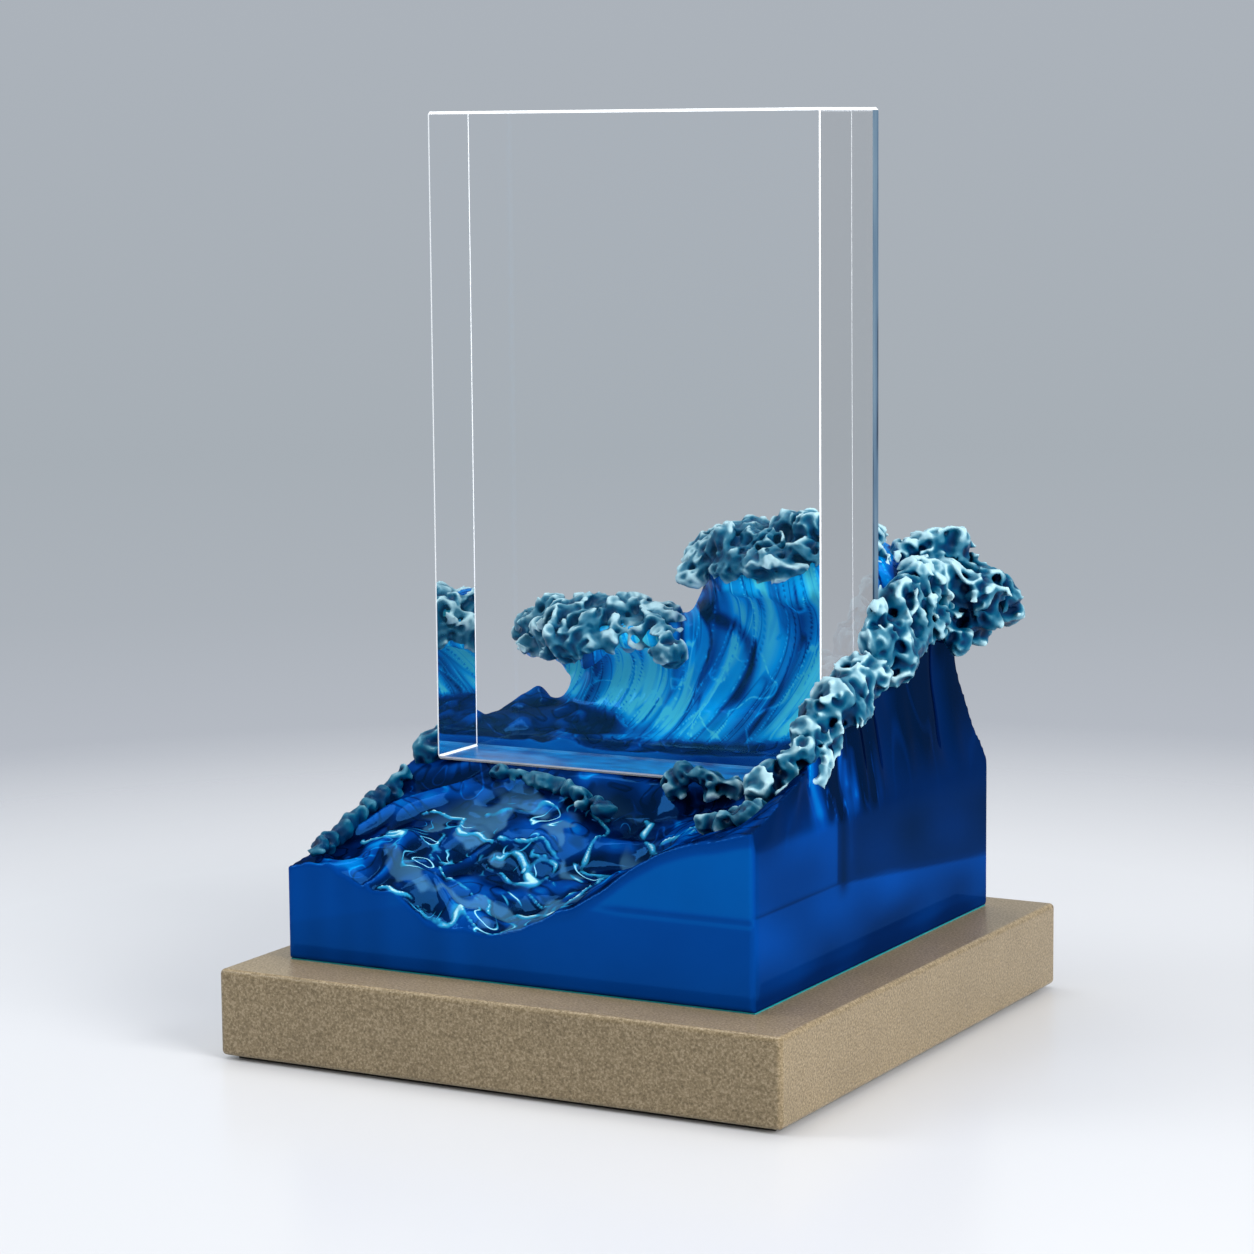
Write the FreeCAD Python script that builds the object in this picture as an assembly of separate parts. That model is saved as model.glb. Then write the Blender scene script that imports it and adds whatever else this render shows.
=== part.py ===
import FreeCAD, Part
import math
import os
from FreeCAD import Vector

# Glass wave sculpture: a clear glass plate standing in a blue cast-glass sea on a stone plinth.
# Millimetres. X runs right along the front, Y away from the front, Z up.
# The origin is the middle of the footprint, on the surface that the sculpture stands on.

# Stone plinth and the felt under it
plinth_width = 142.0
plinth_depth = 150.0
plinth_height = 20.0
plinth_edge_radius = 1.2
felt_thickness = 1.0
felt_inset = 3.0

# Blue glass block
block_width = 120.0
block_depth = 125.0
block_shift_x = -2.4
block_shift_y = 2.6
block_edge_radius = 1.6
bond_thickness = 0.3
bond_inset = 0.6

# Clear glass plate
plate_width = 101.6
plate_thickness = 31.0
plate_height = 152.4
plate_chamfer = 1.2
plate_setback = 51.0
pocket_clearance = 0.4

# Heights above the foot of the blue block
seat_height = 38.9
crest_height = 97.0
waist_height = 34.0

# Hollows under the lips of the two waves
left_barrel_radius = 10.0
right_barrel_radius = 13.0

# Pale glass foam
crest_lump_radius = 4.2
ridge_lump_radius = 3.4
rope_lump_radius = 2.2
bead_radius = 1.1
plate_gap = 0.3
cut_overrun = 6.0

# Levels and faces worked out from the sizes above
stone_top = felt_thickness + plinth_height
block_foot = stone_top + bond_thickness
plate_bottom = block_foot + seat_height + bond_thickness
block_left = block_shift_x - block_width / 2
block_front = block_shift_y - block_depth / 2
block_right = block_left + block_width
block_back = block_front + block_depth
plate_left = block_shift_x - plate_width / 2
plate_right = plate_left + plate_width
plate_front = block_front + plate_setback
plate_back = plate_front + plate_thickness


def box(low, high):
    return Part.makeBox(high[0] - low[0], high[1] - low[1], high[2] - low[2], Vector(*low))


def place(across_share, depth_share, height_share):
    """A point of the block: shares of its width, its depth and the crest's height."""
    return Vector(
        block_left + across_share * block_width,
        block_front + depth_share * block_depth,
        block_foot + height_share * crest_height,
    )


def only_solids(shape):
    """The shape's one solid, or a group of its solids."""
    solids = shape.Solids
    return solids[0] if len(solids) == 1 else Part.makeCompound(solids)


# Stone, felt and bonding films

def make_felt_pad():
    half_width = plinth_width / 2 - felt_inset
    half_depth = plinth_depth / 2 - felt_inset
    return box((-half_width, -half_depth, 0), (half_width, half_depth, felt_thickness))


def make_stone_base():
    half_width = plinth_width / 2
    half_depth = plinth_depth / 2
    stone = box((-half_width, -half_depth, felt_thickness), (half_width, half_depth, stone_top))
    return stone.makeFillet(plinth_edge_radius, stone.Edges)


def make_base_adhesive():
    return box(
        (block_left + bond_inset, block_front + bond_inset, stone_top),
        (block_right - bond_inset, block_back - bond_inset, block_foot),
    )


def make_slab_adhesive():
    return box(
        (plate_left + bond_inset, plate_front + bond_inset, plate_bottom - bond_thickness),
        (plate_right - bond_inset, plate_back - bond_inset, plate_bottom),
    )


def plate_box(clearance, floor):
    """The plate's own space, wider by a clearance all round, from a floor up past its top."""
    return box(
        (plate_left - clearance, plate_front - clearance, floor),
        (plate_right + clearance, plate_back + clearance, plate_bottom + plate_height + clearance),
    )


def make_clear_slab():
    slab = plate_box(0, plate_bottom)
    return slab.makeChamfer(plate_chamfer, slab.Edges)


# The sea: control heights over the block, as shares of the seat's height.
# Columns run from left to right and rows from the front to the back.
sea_across_shares = (-0.03, 0.09, 0.22, 0.36, 0.48, 0.60, 0.70, 0.84, 0.925, 0.945, 1.03)
sea_depth_shares = (-0.04, 0.14, 0.27, 0.35, 0.40, 0.46, 0.68, 0.80, 0.90, 1.04)
sea_height_shares = (
    (0.60, 0.58, 0.44, 0.24, 0.30, 0.40, 0.66, 0.92, 0.94, 0.96, 0.98),
    (0.68, 0.66, 0.60, 0.50, 0.48, 0.55, 0.70, 0.90, 0.97, 1.10, 1.18),
    (0.78, 0.76, 0.74, 0.70, 0.68, 0.72, 0.78, 0.92, 1.02, 1.26, 1.36),
    (0.86, 0.86, 0.85, 0.84, 0.83, 0.84, 0.87, 0.94, 1.05, 1.36, 1.46),
    (0.95, 1.02, 1.02, 1.02, 1.02, 1.02, 1.02, 1.03, 1.08, 1.42, 1.52),
    (1.01, 1.05, 1.05, 1.05, 1.05, 1.05, 1.05, 1.05, 1.10, 1.49, 1.60),
    (1.09, 1.12, 1.06, 1.05, 1.05, 1.05, 1.06, 1.07, 1.20, 1.72, 1.80),
    (1.13, 1.25, 1.20, 1.12, 1.12, 1.15, 1.20, 1.40, 1.60, 1.82, 1.86),
    (1.10, 1.20, 1.20, 1.20, 1.22, 1.30, 1.40, 1.55, 1.75, 1.86, 1.88),
    (0.96, 1.00, 1.05, 1.08, 1.10, 1.15, 1.20, 1.30, 1.40, 1.50, 1.50),
)
surface_degree = 3


def clamped_knots(pole_count):
    spans = pole_count - surface_degree
    knots = list(range(spans + 1))
    multiplicities = [surface_degree + 1] + [1] * (spans - 1) + [surface_degree + 1]
    return multiplicities, knots


def sea_air():
    """Everything above the sea's surface, as a solid to cut from the block."""
    poles = [
        [
            Vector(
                block_left + across * block_width,
                block_front + depth * block_depth,
                block_foot + share * seat_height,
            )
            for across, share in zip(sea_across_shares, row)
        ]
        for depth, row in zip(sea_depth_shares, sea_height_shares)
    ]
    row_multiplicities, row_knots = clamped_knots(len(poles))
    column_multiplicities, column_knots = clamped_knots(len(poles[0]))
    surface = Part.BSplineSurface()
    surface.buildFromPolesMultsKnots(
        poles,
        row_multiplicities,
        column_multiplicities,
        row_knots,
        column_knots,
        False,
        False,
        surface_degree,
        surface_degree,
    )
    return surface.toShape().extrude(Vector(0, 0, 2 * crest_height))


# The two waves: one outline seen from the front, from the right foot over the right crest, the
# notch, the left crest and its lip to the hollow and the left foot, as shares of the block's
# width and the crest's height.
wave_outline_shares = (
    (0.94, 0.33), (0.955, 0.60), (0.93, 0.80), (0.85, 0.90), (0.75, 0.945), (0.64, 0.91),
    (0.55, 0.92), (0.495, 0.875), (0.505, 0.81), (0.465, 0.735), (0.40, 0.72), (0.31, 0.74),
    (0.21, 0.745), (0.13, 0.71), (0.085, 0.64), (0.10, 0.605), (0.145, 0.605), (0.175, 0.56),
    (0.165, 0.505), (0.11, 0.455), (0.06, 0.42), (0.07, 0.33),
)
# Stations of the waves from the front to the back: the place in the block's depth, the slide to
# the left, and the width and height there against the outline.
wave_station_shares = (
    (0.700, -0.075, 0.88, 0.86),
    (0.755, -0.045, 0.94, 0.96),
    (0.840, 0.000, 1.00, 1.00),
    (0.920, 0.030, 0.97, 0.98),
    (0.975, 0.045, 0.92, 0.84),
)
# Hollow of each wave: where its axis starts and ends, in shares of width, depth and height.
left_barrel_shares = ((-0.05, 0.80, 0.49), (0.47, 0.715, 0.56))
right_barrel_shares = ((0.60, 0.735, 0.64), (0.90, 0.675, 0.64))
# Hollowed back and right side of the raised glass: how deep it is cut in, as a share of the
# block's depth or width, against the height above the waist.
back_waist_shares = (
    (0.0, 0.0), (0.010, 0.10), (0.035, 0.25), (0.058, 0.38), (0.064, 0.50), (0.050, 0.80), (0.0, 1.30),
)
side_waist_shares = (
    (0.0, 0.0), (0.006, 0.10), (0.022, 0.25), (0.040, 0.38), (0.044, 0.50), (0.034, 0.80), (0.0, 1.30),
)
# The side's hollow is this much shallower at the front than at the back.
side_waist_front_share = 0.25


def wave_section(station):
    """The closed outline of the waves at one station of the block's depth."""
    depth, slide, width_share, height_share = station
    anchor_across, anchor_height = wave_outline_shares[0]
    points = [
        place(
            anchor_across + (across - anchor_across) * width_share - slide,
            depth,
            anchor_height + (height - anchor_height) * height_share,
        )
        for across, height in wave_outline_shares
    ]
    curve = Part.BSplineCurve()
    curve.interpolate(points, PeriodicFlag=True)
    return Part.Wire(curve.toShape())


def make_waves():
    return Part.makeLoft([wave_section(station) for station in wave_station_shares], True, False)


def make_barrel(end_shares, radius):
    """A round-ended hollow under a wave's lip."""
    start, end = [place(*shares) for shares in end_shares]
    tube = Part.makeCylinder(radius, (end - start).Length, start, end - start)
    return tube.fuse(Part.makeSphere(radius, end)).fuse(Part.makeSphere(radius, start))


def waist_outline(inset_shares, outer, full_size, as_point):
    """Outline of the air beyond a side face, bulging inwards over the hollowed height."""
    foot = block_foot + waist_height
    rise = crest_height - waist_height
    points = [as_point(outer - inset * full_size, foot + height * rise) for inset, height in inset_shares]
    curve = Part.BSplineCurve()
    curve.interpolate(points)
    far = outer + cut_overrun
    corners = [points[-1], as_point(far, points[-1].z), as_point(far, points[0].z), points[0]]
    return Part.Wire([curve.toShape()] + Part.makePolygon(corners).Edges)


def make_back_waist():
    outline = waist_outline(
        back_waist_shares,
        block_back,
        block_depth,
        lambda offset, level: Vector(block_left - cut_overrun, offset, level),
    )
    return Part.Face(outline).extrude(Vector(block_width + 2 * cut_overrun, 0, 0))


def make_side_waist():
    front = block_front - cut_overrun
    back = block_back + cut_overrun
    outlines = [
        waist_outline(
            side_waist_shares,
            block_right,
            block_width * share,
            lambda offset, level, station=station: Vector(offset, station, level),
        )
        for station, share in ((front, side_waist_front_share), (back, 1))
    ]
    return Part.makeLoft(outlines, True, True)


def make_wave_body():
    block = box(
        (block_left, block_front, block_foot),
        (block_right, block_back, block_foot + 2 * crest_height),
    )
    uprights = [edge for edge in block.Edges if edge.BoundBox.ZLength > crest_height]
    block = block.makeFillet(block_edge_radius, uprights)
    waves = make_waves().cut(make_barrel(left_barrel_shares, left_barrel_radius))
    waves = waves.cut(make_barrel(right_barrel_shares, right_barrel_radius)).common(block)
    glass = block.cut(sea_air()).fuse(waves)
    glass = glass.cut(make_back_waist()).cut(make_side_waist())
    return glass.cut(plate_box(pocket_clearance, block_foot + seat_height))


# Foam: each run is a string of lumps along a path, in rows laid side by side.
# A path's points are shares of the block's width, its depth and the crest's height.
golden_angle = math.pi * (3 - math.sqrt(5))
lump_swing_share = 0.22
lump_scatter_share = 0.24
# Widest step from lump to lump along a string, against the lumps' radius.
lump_pitch_share = 1.15
# Cut-off crumbs smaller than this share of a run's largest piece are not cast.
crumb_share = 0.2


def lump_string(path_shares, radius, row_offset_shares=((0, 0, 0),)):
    """Overlapping lumps of uneven size, fused into one piece; their poles lie along the string."""
    path = Part.BSplineCurve()
    path.interpolate([place(*shares) for shares in path_shares])
    first, last = path.FirstParameter, path.LastParameter
    lump_count = math.ceil(path.length() / (lump_pitch_share * radius)) + 1
    corner = place(0, 0, 0)
    lumps = []
    for row, offset_shares in enumerate(row_offset_shares):
        offset = place(*offset_shares) - corner
        for index in range(lump_count):
            turn = golden_angle * (index + row * lump_count)
            along = first + (last - first) * index / (lump_count - 1)
            scatter = radius * lump_scatter_share
            nudge = Vector(scatter * math.cos(turn), scatter * math.sin(turn), scatter * math.sin(2 * turn))
            size = radius * (1 + lump_swing_share * math.cos(3 * turn))
            centre = path.value(along) + offset + nudge
            lumps.append(Part.makeSphere(size, centre, path.tangent(along)[0]))
    return lumps[0].multiFuse(lumps[1:])


crest_left_shares = (
    (0.085, 0.83, 0.650), (0.110, 0.82, 0.700), (0.17, 0.81, 0.740), (0.25, 0.81, 0.760),
    (0.33, 0.81, 0.750), (0.40, 0.82, 0.735),
)
crest_right_shares = (
    (0.475, 0.83, 0.855), (0.50, 0.83, 0.90), (0.57, 0.82, 0.94), (0.66, 0.82, 0.935),
    (0.74, 0.83, 0.965), (0.82, 0.84, 0.935),
)
# The rows of a crest run from the front of the lip, over its top, to its back.
crest_rows = ((0.055, -0.085, -0.045), (0.025, -0.042, -0.012), (0, 0, 0), (-0.025, 0.045, -0.004))
peak_shares = (
    (0.87, 0.87, 0.895), (0.92, 0.90, 0.905), (0.97, 0.92, 0.885), (1.02, 0.94, 0.84),
    (1.05, 0.955, 0.79),
)
peak_rows = ((0, 0, 0), (0.005, -0.055, -0.040), (-0.012, 0.030, -0.045))
apron_shares = ((0.955, 0.60, 0.70), (0.955, 0.68, 0.76), (0.96, 0.76, 0.80), (0.96, 0.83, 0.82))
apron_rows = ((-0.015, -0.01, 0.045), (0, 0, 0), (0.012, 0.02, -0.050))
ridge_upper_shares = ((0.975, 0.50, 0.685), (0.97, 0.42, 0.645), (0.965, 0.36, 0.60), (0.96, 0.32, 0.56))
ridge_lower_shares = ((0.955, 0.29, 0.53), (0.945, 0.265, 0.505), (0.92, 0.235, 0.465))
patch_middle_shares = ((0.62, 0.375, 0.40), (0.67, 0.365, 0.425), (0.71, 0.365, 0.42), (0.75, 0.375, 0.405))
patch_front_shares = ((0.82, 0.15, 0.37), (0.87, 0.14, 0.395), (0.93, 0.15, 0.405))
rope_left_shares = (
    (0.035, 0.05, 0.245), (0.02, 0.13, 0.265), (0.02, 0.22, 0.29), (0.02, 0.31, 0.325),
    (0.025, 0.38, 0.36),
)
shoulder_left_shares = ((0.035, 0.43, 0.40), (0.035, 0.46, 0.43), (0.035, 0.49, 0.45))
line_sea_shares = (
    (0.22, 0.385, 0.382), (0.30, 0.385, 0.378), (0.38, 0.375, 0.368), (0.45, 0.35, 0.352),
    (0.52, 0.32, 0.340),
)
beads_shares = ((0.90, 0.20, 0.425), (0.935, 0.20, 0.44), (0.965, 0.20, 0.46))


def make_foam_lumps():
    return {
        "foam_crest_left": lump_string(crest_left_shares, crest_lump_radius, crest_rows),
        "foam_crest_right": lump_string(crest_right_shares, crest_lump_radius, crest_rows),
        "foam_peak_right": lump_string(peak_shares, crest_lump_radius, peak_rows),
        "foam_apron_right": lump_string(apron_shares, crest_lump_radius, apron_rows),
        "foam_ridge_upper": lump_string(ridge_upper_shares, ridge_lump_radius),
        "foam_ridge_lower": lump_string(ridge_lower_shares, ridge_lump_radius),
        "foam_patch_middle": lump_string(patch_middle_shares, ridge_lump_radius),
        "foam_patch_front": lump_string(patch_front_shares, ridge_lump_radius),
        "foam_rope_left": lump_string(rope_left_shares, rope_lump_radius),
        "foam_shoulder_left": lump_string(shoulder_left_shares, ridge_lump_radius),
        "foam_line_sea": lump_string(line_sea_shares, rope_lump_radius),
        "foam_beads": lump_string(beads_shares, bead_radius),
    }


def seat_foam(foam_lumps, glass):
    """Each run of foam, cut where it meets the glass, the plate and the runs laid before it."""
    plate_space = plate_box(plate_gap, plate_bottom - plate_gap)
    seated = {}
    for name, lumps in foam_lumps.items():
        piece = lumps.cut(glass).cut(plate_space)
        for other in seated.values():
            if piece.BoundBox.intersect(other.BoundBox):
                piece = piece.cut(other)
        largest = max(solid.Volume for solid in piece.Solids)
        kept = [solid for solid in piece.Solids if solid.Volume > crumb_share * largest]
        seated[name] = Part.makeCompound(kept)
    return seated


def main():
    os.makedirs("parts", exist_ok=True)
    glass = make_wave_body()
    nodes = {
        "felt_pad": make_felt_pad(),
        "stone_base": make_stone_base(),
        "base_adhesive": make_base_adhesive(),
        "wave_body": glass,
        "slab_adhesive": make_slab_adhesive(),
        "clear_slab": make_clear_slab(),
    }
    nodes.update(seat_foam(make_foam_lumps(), glass))
    for name, shape in nodes.items():
        solid = only_solids(shape)
        solid.exportStep(os.path.join("parts", name + ".step"))
        print(name, len(solid.Solids), "solids", round(solid.Volume), "mm3", solid.isValid())


main()
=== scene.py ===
import math

import bmesh
import bpy
import numpy as np
import openvdb
from mathutils import Matrix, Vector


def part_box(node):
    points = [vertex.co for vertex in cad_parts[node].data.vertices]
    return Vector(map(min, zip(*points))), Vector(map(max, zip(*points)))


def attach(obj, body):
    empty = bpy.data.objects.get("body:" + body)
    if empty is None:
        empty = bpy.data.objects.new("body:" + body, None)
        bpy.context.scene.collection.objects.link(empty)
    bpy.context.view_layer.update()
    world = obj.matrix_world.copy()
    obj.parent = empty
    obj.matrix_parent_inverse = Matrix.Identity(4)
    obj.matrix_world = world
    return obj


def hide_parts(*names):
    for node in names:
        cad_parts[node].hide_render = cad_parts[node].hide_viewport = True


# Glass wave sculpture: a clear glass plate in a blue cast-glass sea with pale foam, on a stone plinth.
# Shapes are worked out in millimetres on voxel grids and become meshes in metres.

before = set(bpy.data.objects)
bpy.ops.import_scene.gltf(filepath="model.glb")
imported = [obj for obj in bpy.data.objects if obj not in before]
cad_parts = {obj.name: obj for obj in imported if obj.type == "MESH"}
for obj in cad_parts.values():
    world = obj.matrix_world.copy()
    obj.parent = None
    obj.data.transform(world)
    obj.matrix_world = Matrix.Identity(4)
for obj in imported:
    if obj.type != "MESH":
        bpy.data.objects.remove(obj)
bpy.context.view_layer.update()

MM = 0.001
# Grid cells, the reach of the distances kept around a surface, and the room around the block
VOXEL = 0.5
FOAM_VOXEL = 0.4
BAND = 5.0
MARGIN = 4.0
# Fewest points of a separate lump that is kept
LEAST_ISLAND = 60


def node_box(name):
    low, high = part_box(name)
    return np.array(low) / MM, np.array(high) / MM


# The blue block, its seat for the plate and the plate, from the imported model
block_low, block_high = node_box("wave_body")
plate_low, plate_high = node_box("clear_slab")
block_foot = block_low[2]
block_size = block_high - block_low
seat_level = node_box("slab_adhesive")[0][2]
seat_height = seat_level - block_foot
crest_height = 97.0
pocket_clearance = 0.4
plate_gap = 0.3
edge_radius = 1.6


def place(across, depth, height):
    """A point of the block: shares of its width, its depth and the crest's height."""
    return np.array((
        block_low[0] + across * block_size[0],
        block_low[1] + depth * block_size[1],
        block_foot + height * crest_height,
    ))


# Fields

def smooth_min(a, b, reach):
    share = np.clip(0.5 + 0.5 * (b - a) / reach, 0, 1)
    return b + (a - b) * share - reach * share * (1 - share)


def smooth_max(a, b, reach):
    return -smooth_min(-a, -b, reach)


def ramp(value, start, end):
    """Rises smoothly from 0 at start to 1 at end."""
    t = np.clip((value - start) / (end - start), 0, 1)
    return t * t * (3 - 2 * t)


def band(value, middle, width):
    """One at the middle, fading to nothing a width or two away."""
    return np.exp(-(((value - middle) / width) ** 2))


NOISE_CELLS = 64
NOISE_SOFTNESS = 2.4
CELLS_PER_WAVE = 9.0


def noise_table(seed):
    """A repeating block of soft random values with unit spread, its first layers repeated at its ends."""
    values = np.random.default_rng(seed).standard_normal((NOISE_CELLS,) * 3)
    steps = np.fft.fftfreq(NOISE_CELLS) ** 2
    squares = steps[:, None, None] + steps[None, :, None] + steps[None, None, :]
    values = np.fft.ifftn(np.fft.fftn(values) * np.exp(-2 * (math.pi * NOISE_SOFTNESS) ** 2 * squares)).real
    return np.pad((values / values.std()).astype(np.float32), (0, 1), "wrap")


TABLES = [noise_table(seed) for seed in range(4)]


def blend(grid, cells, shares):
    """Values of a grid at places inside its cells, blended between the corners."""
    result = 0
    for corner in np.ndindex((2,) * grid.ndim):
        steps = corner[::-1]
        weight = 1
        for step, share in zip(steps, shares):
            weight = weight * (share if step else 1 - share)
        result = result + weight * grid[tuple(cell + step for cell, step in zip(cells, steps))]
    return result


def noise(table, x, y, z, wavelength):
    """Soft noise at the given places; the wavelength may differ along x, y and z."""
    cells, shares = [], []
    for value, length in zip((x, y, z), np.broadcast_to(wavelength, 3)):
        scaled = np.asarray(value, np.float32) * np.float32(CELLS_PER_WAVE / length)
        cells.append(np.floor(scaled).astype(np.int32) % NOISE_CELLS)
        shares.append(scaled - np.floor(scaled))
    return blend(TABLES[table], cells, shares)


def sample_grid(grid, low, step, points):
    """Values of a grid at points; its first cell lies at low."""
    scaled = np.clip((points - low) / step, 0, np.array(grid.shape) - 1.001)
    cells = np.floor(scaled).astype(int)
    return blend(grid, np.moveaxis(cells, -1, 0), np.moveaxis(scaled - cells, -1, 0))


def soften(values, spread):
    """Blurs a grid by a spread in cells."""
    reach = int(math.ceil(2.5 * spread))
    kernel = np.exp(-0.5 * (np.arange(-reach, reach + 1) / spread) ** 2)
    kernel /= kernel.sum()
    for axis in range(values.ndim):
        turned = np.moveaxis(values, axis, 0)
        padded = np.pad(turned, [(reach, reach)] + [(0, 0)] * (values.ndim - 1), "edge")
        blurred = sum(weight * padded[start:start + len(turned)] for start, weight in enumerate(kernel))
        values = np.moveaxis(blurred, 0, axis)
    return values


def islands(count, quads):
    """A number for each vertex, the same all over one connected surface."""
    label = np.arange(count)
    starts, ends = quads.ravel(), np.roll(quads, 1, axis=1).ravel()
    while True:
        least = np.minimum(label[starts], label[ends])
        joined = label.copy()
        np.minimum.at(joined, starts, least)
        np.minimum.at(joined, ends, least)
        joined = joined[joined]
        if np.array_equal(joined, label):
            return label
        label = joined


def mesh_piece(name, field, low, step, seated=None):
    """A smooth closed mesh around the field's inside; seated tells which of its points are held."""
    grid = openvdb.FloatGrid(BAND)
    grid.copyFromArray(np.clip(field, -BAND, BAND).astype(np.float32))
    points, quads = grid.convertToQuads(isovalue=0.0)
    points = points * step + low
    if seated is not None:
        label = islands(len(points), quads.astype(np.int64))
        names, sizes = np.unique(label, return_counts=True)
        kept = np.isin(label, np.intersect1d(names[sizes >= LEAST_ISLAND], label[seated(points)]))
        quads = (np.cumsum(kept) - 1)[quads[kept[quads[:, 0]]]]
        points = points[kept]
    mesh = bpy.data.meshes.new(name)
    mesh.from_pydata(points * MM, [], quads)
    mesh.validate()
    mesh.shade_smooth()
    return add_object(name, mesh), points


def add_object(name, data):
    thing = bpy.data.objects.new(name, data)
    bpy.context.scene.collection.objects.link(thing)
    return thing


def stand_for(piece, node):
    """What a piece of the visual model moves with and stands for: it hangs on the root, the part it stands
    for is hidden.
    """
    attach(piece, "root")
    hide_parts(node)


def paint(piece, name, values):
    """Keeps a value or a vector for each of the piece's points."""
    values = np.asarray(values, np.float32)
    kind, field = ("FLOAT", "value") if values.ndim == 1 else ("FLOAT_VECTOR", "vector")
    piece.data.attributes.new(name, kind, "POINT").data.foreach_set(field, values.ravel())


def facing_of(piece):
    """The way the surface faces at each of the piece's points."""
    facing = np.empty((len(piece.data.vertices), 3), np.float32)
    piece.data.vertices.foreach_get("normal", facing.ravel())
    return facing


# The sea: control heights over the block, as shares of the seat's height
sea_across = np.array((-0.03, 0.09, 0.22, 0.36, 0.48, 0.60, 0.70, 0.84, 0.925, 0.945, 1.03))
sea_depth = np.array((-0.04, 0.14, 0.27, 0.35, 0.40, 0.46, 0.68, 0.80, 0.90, 1.04))
sea_heights = np.array((
    (0.60, 0.58, 0.44, 0.24, 0.30, 0.40, 0.66, 0.92, 0.94, 0.96, 0.98),
    (0.68, 0.66, 0.60, 0.50, 0.48, 0.55, 0.70, 0.90, 0.97, 1.10, 1.18),
    (0.78, 0.76, 0.74, 0.70, 0.68, 0.72, 0.78, 0.92, 1.02, 1.26, 1.36),
    (0.86, 0.86, 0.85, 0.84, 0.83, 0.84, 0.87, 0.94, 1.05, 1.36, 1.46),
    (0.95, 1.02, 1.02, 1.02, 1.02, 1.02, 1.02, 1.03, 1.08, 1.42, 1.52),
    (1.01, 1.05, 1.05, 1.05, 1.05, 1.05, 1.05, 1.05, 1.10, 1.49, 1.60),
    (1.09, 1.12, 1.06, 1.05, 1.05, 1.05, 1.06, 1.07, 1.20, 1.72, 1.80),
    (1.13, 1.25, 1.20, 1.12, 1.12, 1.15, 1.20, 1.40, 1.60, 1.82, 1.86),
    (1.10, 1.20, 1.20, 1.20, 1.22, 1.30, 1.40, 1.55, 1.75, 1.86, 1.88),
    (0.96, 1.00, 1.05, 1.08, 1.10, 1.15, 1.20, 1.30, 1.40, 1.50, 1.50),
))
CURVE_DEGREE = 3
CURVE_STEPS = 2001


def spline_weights(pole_count, spots):
    """Weights of a clamped even spline's poles at each spot along it."""
    spans = pole_count - CURVE_DEGREE
    knots = np.concatenate((np.zeros(CURVE_DEGREE), np.arange(spans + 1), np.full(CURVE_DEGREE, spans)))
    weights = [((knots[i] <= spots) & (spots < knots[i + 1])).astype(float) for i in range(len(knots) - 1)]
    weights[pole_count - 1] = np.where(spots >= spans, 1.0, weights[pole_count - 1])
    for degree in range(1, CURVE_DEGREE + 1):
        raised = []
        for i in range(len(knots) - 1 - degree):
            total = np.zeros_like(spots)
            for pole, start, end in ((i, i, i + degree), (i + 1, i + degree + 1, i + 1)):
                if knots[start] != knots[end]:
                    total += (spots - knots[start]) / (knots[end] - knots[start]) * weights[pole]
            raised.append(total)
        weights = raised
    return np.array(weights).T


def axis_weights(shares, low, size, places):
    """Weights of the poles along one axis at places in millimetres."""
    spots = np.linspace(0, len(shares) - CURVE_DEGREE, CURVE_STEPS)
    reached = low + size * (spline_weights(len(shares), spots) @ shares)
    return spline_weights(len(shares), np.interp(places, reached, spots))


def sea_level(xs, ys):
    """Height of the calm sea over a flat grid."""
    across = axis_weights(sea_across, block_low[0], block_size[0], xs)
    depth = axis_weights(sea_depth, block_low[1], block_size[1], ys)
    return block_foot + seat_height * across @ (depth @ sea_heights).T


# Strings of sea foam drawn as raised lines on the water in front of the plate
lace_strings = (
    ((-12.1, -14.7), (-5.3, -16.4), (0.1, -23.3), (0.2, -29.5), (6.6, -37.8), (4.9, -44.9), (1.0, -51.6)),
    ((-28.4, -47.2), (-22.3, -49.4), (-14.2, -51.6), (0.6, -50.0), (0.8, -42.6)),
    ((-20.8, -40.6), (-17.5, -43.0), (-11.7, -40.9), (-7.8, -38.6), (-10, -34), (-18, -35), (-20.8, -40.6)),
    ((-31.7, -22.1), (-23.8, -19.9), (-15.3, -17.4)),
    ((-41.4, -25.9), (-35.2, -25.4), (-36.5, -32.2), (-29.7, -32.7), (-24.3, -34.5)),
    ((-22.9, -32.5), (-17.8, -30.2), (-11.0, -30.6)),
    ((6.3, -16.9), (11.9, -23.5), (18.2, -31.8)),
    ((-39.7, -44.9), (-35.1, -44.2)),
    ((-53.9, -39.5), (-44.8, -41.0)),
    ((-36.3, -59.8), (-31.9, -57.8), (-24.0, -58.8), (-15.6, -58.5), (-12.8, -59.7)),
    ((8.7, -58.6), (14.3, -57.6)),
    ((18.4, -25.6), (23.5, -25.5), (30.2, -34.9)),
)
lace_width = 0.5
lace_height = 0.7
# Where the swells turn around, in front of the block
swell_centre = (-8.0, -78.0)
# The bowl in front of the plate: its middle across, and its middle in depth and its reach for each use
bowl_middle = -14.0
net_bowl = (-44.0, 24.0)
sparkle_bowl = (-40.0, 27.0)


def bowl_share(x, y, middle, reach):
    """One in the bowl, nothing outside it."""
    return ramp(reach - np.hypot(0.8 * (x - bowl_middle), y - middle), -4, 10)


def distance_to_strings(x, y, strings):
    """Distance to the nearest of several bent lines."""
    nearest = np.inf
    for string in strings:
        for (x0, y0), (x1, y1) in zip(string, string[1:]):
            dx, dy = x1 - x0, y1 - y0
            along = np.clip(((x - x0) * dx + (y - y0) * dy) / (dx * dx + dy * dy), 0, 1)
            nearest = np.minimum(nearest, np.hypot(x - x0 - along * dx, y - y0 - along * dy))
    return nearest


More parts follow.
